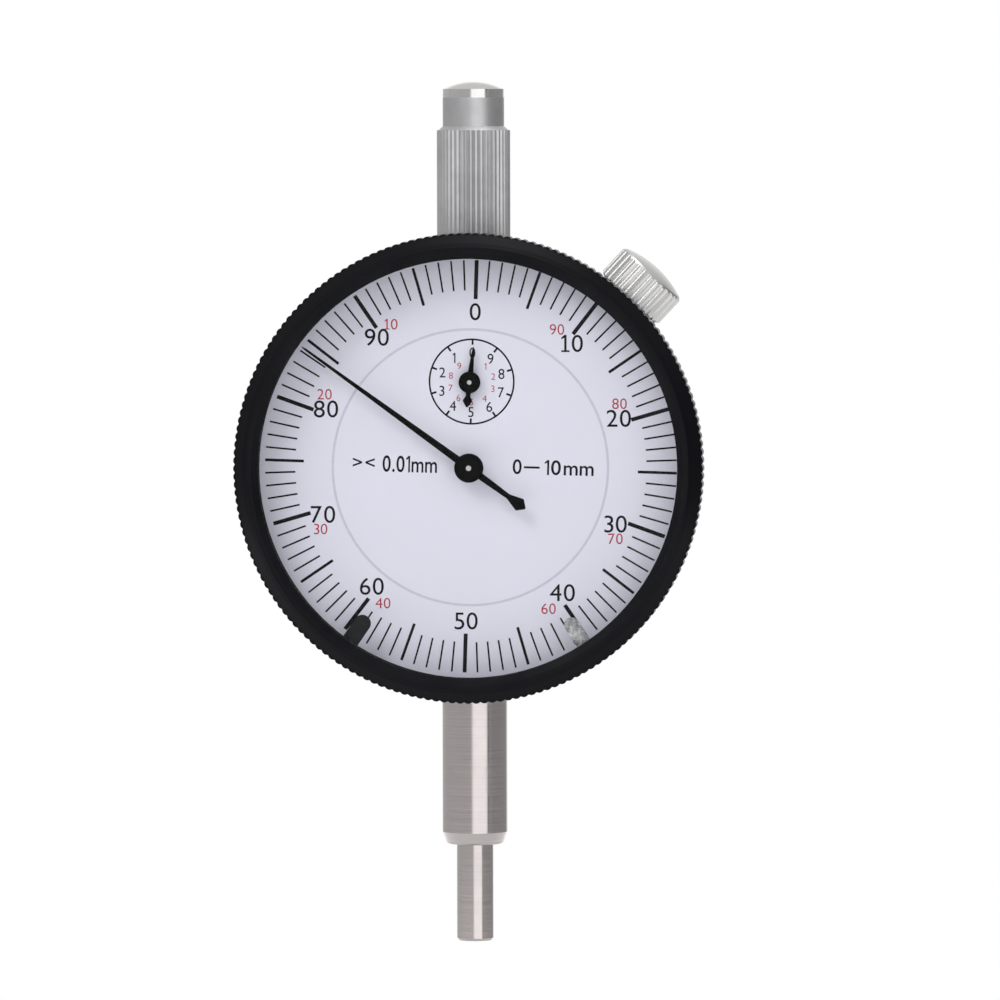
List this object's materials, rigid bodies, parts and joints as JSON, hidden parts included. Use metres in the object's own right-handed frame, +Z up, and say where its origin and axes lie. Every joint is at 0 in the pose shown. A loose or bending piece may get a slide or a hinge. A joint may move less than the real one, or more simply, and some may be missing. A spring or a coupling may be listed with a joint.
{
  "type": "dial indicator",
  "caption": "Plunger dial indicator with a turning bezel, tolerance markers, a turn counter, a bezel clamp, a round clamping stem and a knurled spindle guard.",
  "frame": {"origin": "centre of the stem's 8 mm clamping cylinder, on the spindle axis", "axes": "+Z up along the spindle, from the contact end to the guard; the dial faces -Y; +X to the reader's right"},
  "size_m": [0.0572, 0.0201, 0.1056],
  "materials": {
    "satin_steel": "satin ground steel",
    "guard_aluminium": "matte grey anodised, straight knurl",
    "polished_steel": "polished",
    "case_paint": "satin black enamel",
    "bezel_black": "satin black anodised",
    "black_matte": "matte black",
    "hand_black": "matte black",
    "dial_white": "matte white with black and red print",
    "brass": "turned",
    "steel": "turned steel",
    "scratched_steel": "bare, scratched",
    "spring_steel": "drawn wire",
    "rubber": "matte",
    "crystal": "clear"
  },
  "bodies": {
    "body": {"case": "case_paint", "stem": "satin_steel", "stem_bush": "brass", "upper_bush": "brass", "spindle_guard": "guard_aluminium", "guard_cap": "polished_steel", "back_cover": "case_paint", "cover_gasket": "rubber", "cover_screws": "steel", "bezel_spring_ring": "spring_steel", "movement_plate": "brass", "plate_pillars": "steel", "plate_screws": "steel", "rear_bridge": "brass", "bridge_pillars": "steel", "bridge_screws": "steel", "front_bushes": "brass", "rear_bushes": "brass", "inner_dial": "dial_white", "guide_rail": "brass", "guide_rail_screws": "steel", "spring_post": "steel", "return_spring": "spring_steel", "hairspring": "spring_steel", "hairspring_stud": "steel"},
    "plunger": {"spindle": "satin_steel", "guide_pin": "polished_steel"},
    "rack_shaft": {"rack_arbor": "steel", "first_wheel": "brass"},
    "center_shaft": {"center_arbor": "steel", "hand_hub": "hand_black", "main_hand": "hand_black"},
    "counter_shaft": {"counter_arbor": "steel", "counter_wheel": "brass", "hairspring_collet": "brass", "small_hand_hub": "hand_black", "small_hand": "hand_black"},
    "bezel_unit": {"bezel": "bezel_black", "crystal": "crystal", "crystal_gasket": "rubber", "dial_ring": "dial_white"},
    "left_marker": {"marker_left": "black_matte"},
    "right_marker": {"marker_right": "scratched_steel"},
    "clamp_claw_unit": {"clamp_claw": "black_matte"},
    "clamp_screw_unit": {"clamp_stud": "steel", "clamp_knob": "polished_steel"}
  },
  "joints": [
    {"name": "spindle_slide", "type": "slide", "parent": "body", "child": "plunger", "axis": [0, 0, 1], "range_m": [0, 0.0105], "stiffness_N_per_m": 50, "springref_m": -0.012, "deforming": ["return_spring"]},
    {"name": "rack_shaft_spin", "type": "hinge", "parent": "body", "child": "rack_shaft", "pos_m": [-0.0028, 0, 0.02568], "axis": [0, 1, 0], "range_deg": [-380, 5]},
    {"name": "main_hand_spin", "type": "hinge", "parent": "body", "child": "center_shaft", "pos_m": [0, 0, 0.0357], "axis": [0, 1, 0], "range_deg": [-5, 3785]},
    {"name": "counter_hand_spin", "type": "hinge", "parent": "body", "child": "counter_shaft", "pos_m": [0, 0, 0.0461], "axis": [0, 1, 0], "range_deg": [-380, 5]},
    {"name": "bezel_turn", "type": "hinge", "parent": "body", "child": "bezel_unit", "pos_m": [0, 0, 0.0357], "axis": [0, 1, 0], "continuous": true},
    {"name": "left_marker_turn", "type": "hinge", "parent": "bezel_unit", "child": "left_marker", "pos_m": [0, 0, 0.0357], "axis": [0, 1, 0], "range_deg": [-28, 150]},
    {"name": "right_marker_turn", "type": "hinge", "parent": "bezel_unit", "child": "right_marker", "pos_m": [0, 0, 0.0357], "axis": [0, 1, 0], "range_deg": [-130, 28]},
    {"name": "clamp_claw_slide", "type": "slide", "parent": "body", "child": "clamp_claw_unit", "axis": [-0.6833, 0, -0.7302], "range_m": [-0.0005, 0.00012]},
    {"name": "clamp_knob_turn", "type": "hinge", "parent": "clamp_claw_unit", "child": "clamp_screw_unit", "pos_m": [0.01913, 0, 0.05614], "axis": [-0.6833, 0, -0.7302], "range_deg": [-366, 93]}
  ],
  "couplings": [
    {"joint": "rack_shaft_spin", "follows": "spindle_slide", "rad_per_m": -628.32},
    {"joint": "main_hand_spin", "follows": "spindle_slide", "rad_per_m": 6283.2},
    {"joint": "counter_hand_spin", "follows": "spindle_slide", "rad_per_m": -628.32},
    {"joint": "clamp_knob_turn", "follows": "clamp_claw_slide", "rad_per_m": 12566}
  ]
}
